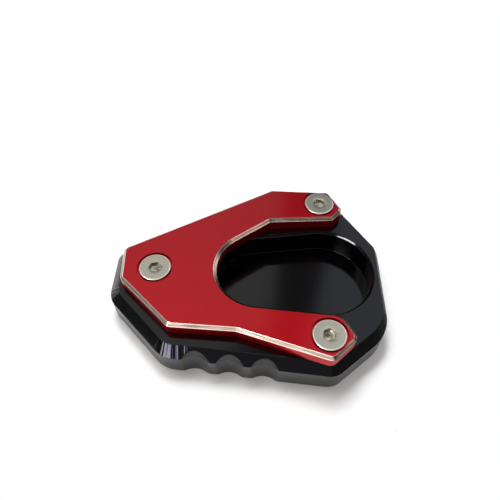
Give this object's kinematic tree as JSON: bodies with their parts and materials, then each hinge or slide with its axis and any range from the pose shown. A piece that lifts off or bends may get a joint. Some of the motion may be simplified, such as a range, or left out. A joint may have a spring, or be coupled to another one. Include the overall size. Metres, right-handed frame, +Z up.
{
  "type": "kickstand foot enlarger",
  "caption": "Two-layer metal plate that clamps round the foot of a motorbike side stand and widens its footprint on soft ground.",
  "frame": {"origin": "middle of the bounding box, on the flat underside that stands on the ground", "axes": "+Z up, away from the ground; +X towards the open end of the foot pocket, right in the picture; +Y away from the viewer, towards the back arm of the clamp plate"},
  "size_m": [0.0994, 0.079, 0.0191],
  "materials": {
    "black_anodised_aluminium": "satin black anodised, milled",
    "red_anodised_aluminium": "satin red anodised with bright cut chamfers",
    "stainless_steel": "plain turned stainless steel"
  },
  "bodies": {
    "root": {"base_plate": "black_anodised_aluminium", "clamp_plate": "red_anodised_aluminium", "screw_left": "stainless_steel", "screw_back": "stainless_steel", "screw_front": "stainless_steel"}
  },
  "joints": []
}
